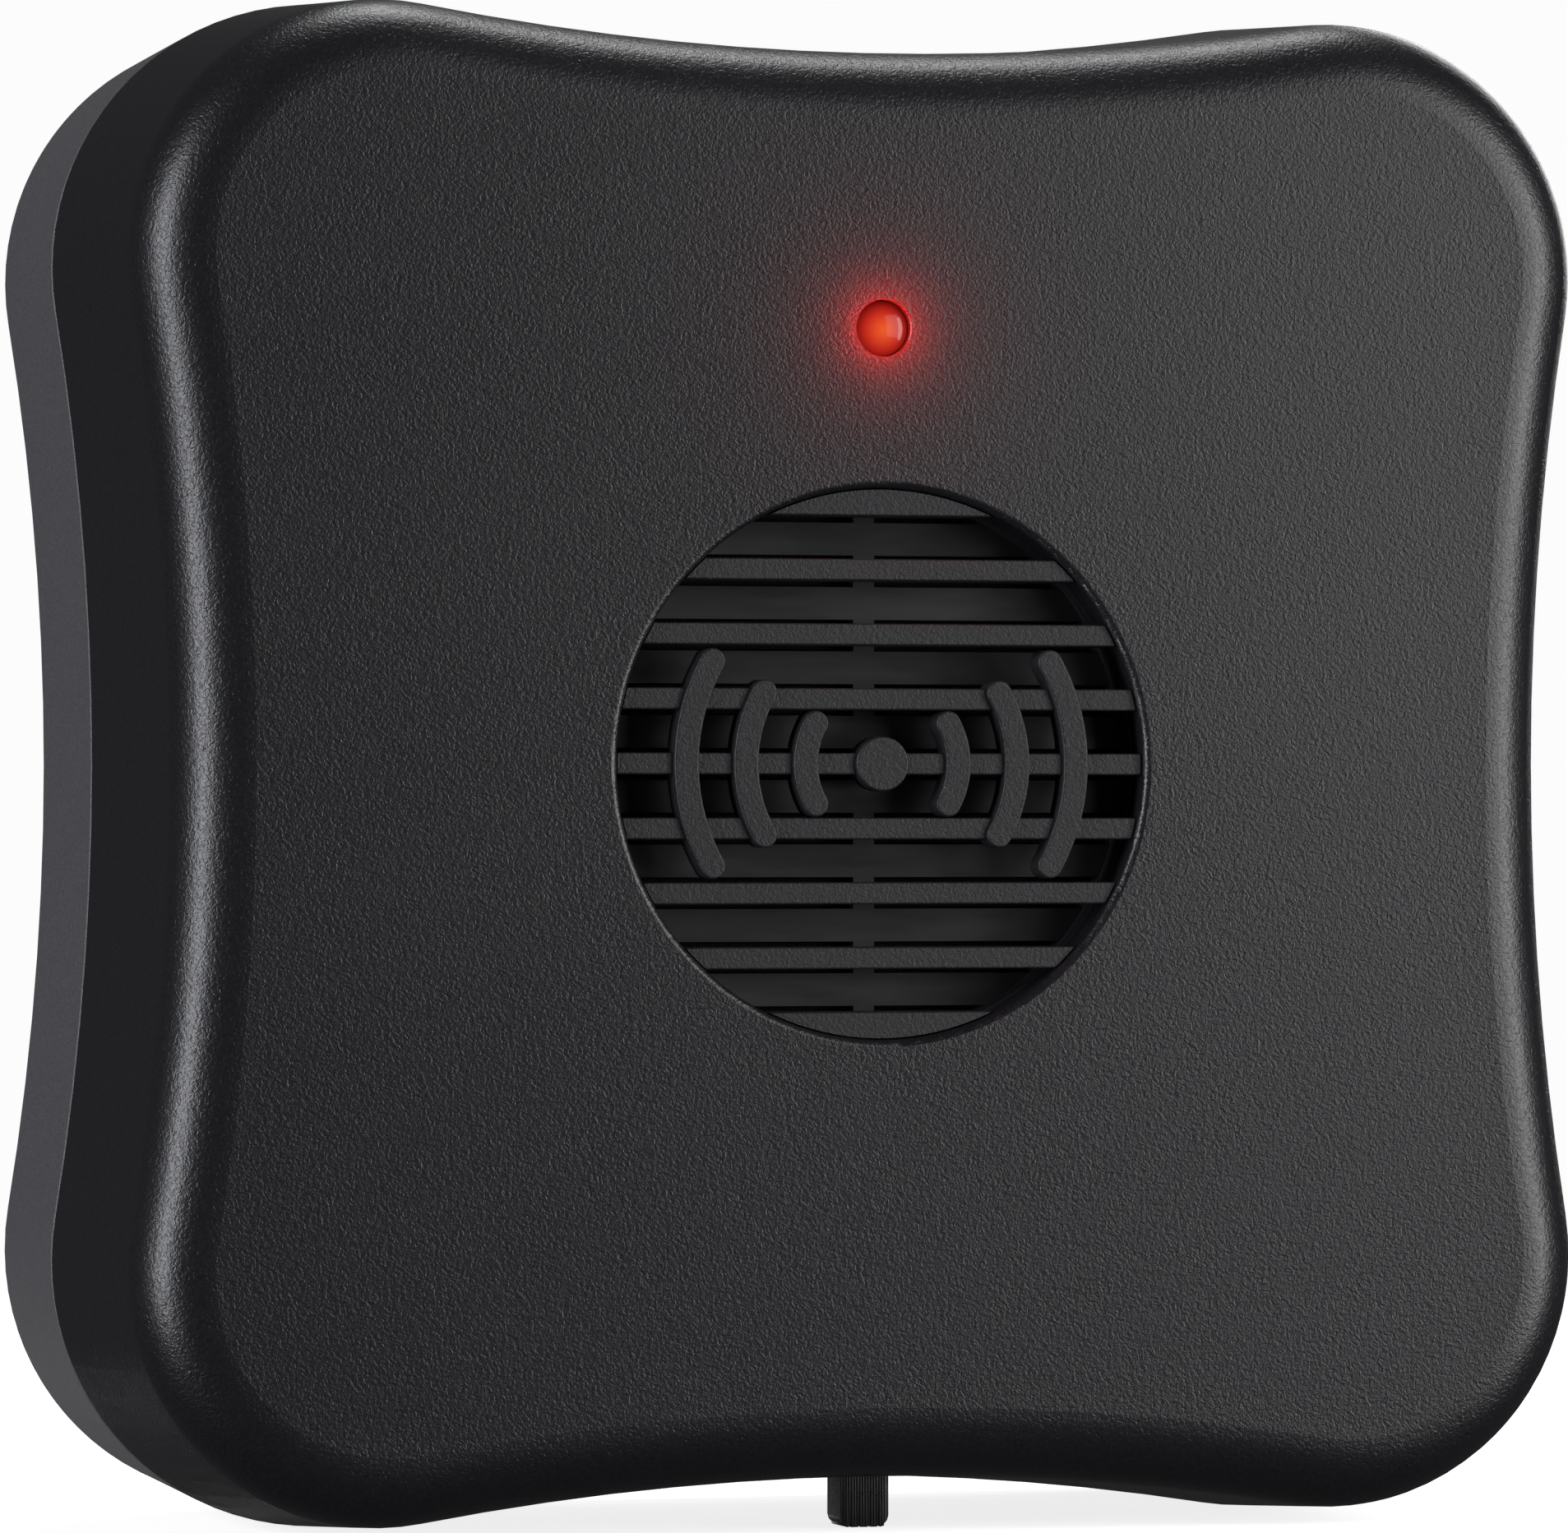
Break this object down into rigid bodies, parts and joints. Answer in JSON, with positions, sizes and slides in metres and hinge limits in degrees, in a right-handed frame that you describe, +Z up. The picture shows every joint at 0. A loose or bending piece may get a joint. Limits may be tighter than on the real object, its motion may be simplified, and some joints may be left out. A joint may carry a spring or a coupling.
{
  "type": "ultrasonic pest repeller",
  "caption": "Square black ultrasonic pest repeller with concave sides, a round slatted grille, a red lamp, a slide switch below and a hinged battery door at the back.",
  "frame": {"origin": "centre of the bounding box in X and Y, level with the lowest point of the case", "axes": "+X to the right and +Z up as the face is seen, +Y out of the flat back; the grille looks along -Y"},
  "size_m": [0.085, 0.0344, 0.085],
  "materials": {
    "case_plastic": "fine grained, satin",
    "rear_case_plastic": "finer grain, satin",
    "grille_plastic": "fine grained",
    "smooth_black_plastic": "smooth moulded",
    "knob_plastic": "glossy",
    "lamp_red": "clear tinted, lit",
    "foam": "closed-cell foam",
    "dust_cloth": "fine black acoustic cloth",
    "brass_sheet": "rolled",
    "ceramic_layer": "fired, silvered",
    "cone_film": "thin pressed film",
    "red_wire": "wire insulation",
    "black_wire": "wire insulation",
    "tinned_lead": "tinned",
    "board_laminate": "paper laminate",
    "chip_body": "moulded epoxy",
    "ferrite": "sintered",
    "copper_wire": "enamelled copper",
    "capacitor_can": "drawn can",
    "resistor_body": "lacquered",
    "switch_steel": "tinned steel",
    "switch_phenolic": "pressed laminate",
    "screw_steel": "zinc plated",
    "contact_steel": "nickel plated",
    "cell_can": "nickel plated",
    "cell_sleeve": "blank printed film"
  },
  "bodies": {
    "case": {"board_screw_1": "screw_steel", "board_screw_2": "screw_steel", "board_screw_3": "screw_steel", "board_screw_4": "screw_steel", "capacitor_1": "capacitor_can", "capacitor_2": "capacitor_can", "case_screw_1": "screw_steel", "case_screw_2": "screw_steel", "case_screw_3": "screw_steel", "case_screw_4": "screw_steel", "cell_1": "cell_can", "cell_2": "cell_can", "cell_3": "cell_can", "cell_sleeve_1": "cell_sleeve", "cell_sleeve_2": "cell_sleeve", "cell_sleeve_3": "cell_sleeve", "cell_spring_1": "contact_steel", "cell_spring_2": "contact_steel", "cell_spring_3": "contact_steel", "chip_legs": "tinned_lead", "circuit_board": "board_laminate", "coil_core": "ferrite", "coil_winding": "copper_wire", "contact_link_bottom": "contact_steel", "contact_link_top": "contact_steel", "contact_negative": "contact_steel", "contact_positive": "contact_steel", "control_chip": "chip_body", "dust_cloth": "dust_cloth", "front_shell": "case_plastic", "lamp_lead_left": "tinned_lead", "lamp_lead_right": "tinned_lead", "lamp_lens": "lamp_red", "lamp_spacer": "smooth_black_plastic", "louvre_screen": "smooth_black_plastic", "piezo_ceramic": "ceramic_layer", "piezo_plate": "brass_sheet", "rear_shell": "rear_case_plastic", "resistor_1": "resistor_body", "resistor_2": "resistor_body", "speaker_grille": "grille_plastic", "switch_base": "switch_phenolic", "switch_can": "switch_steel", "switch_pin_1": "tinned_lead", "switch_pin_2": "tinned_lead", "switch_pin_3": "tinned_lead", "transducer_cone": "cone_film", "transducer_gasket": "foam", "transducer_housing": "smooth_black_plastic", "transducer_screw_1": "screw_steel", "transducer_screw_2": "screw_steel", "transducer_screw_3": "screw_steel", "transducer_wire_black": "black_wire", "transducer_wire_red": "red_wire", "transistor_1": "chip_body", "transistor_2": "chip_body"},
    "door": {"battery_door": "case_plastic"},
    "knob": {"switch_knob": "knob_plastic", "switch_actuator": "knob_plastic"}
  },
  "joints": [
    {"name": "switch_slide", "type": "slide", "parent": "case", "child": "knob", "axis": [1, 0, 0], "range_m": [-0.0029, 0]},
    {"name": "door_hinge", "type": "hinge", "parent": "case", "child": "door", "pos_m": [0, 0.01565, 0.0657], "axis": [1, 0, 0], "range_deg": [0, 90]}
  ]
}
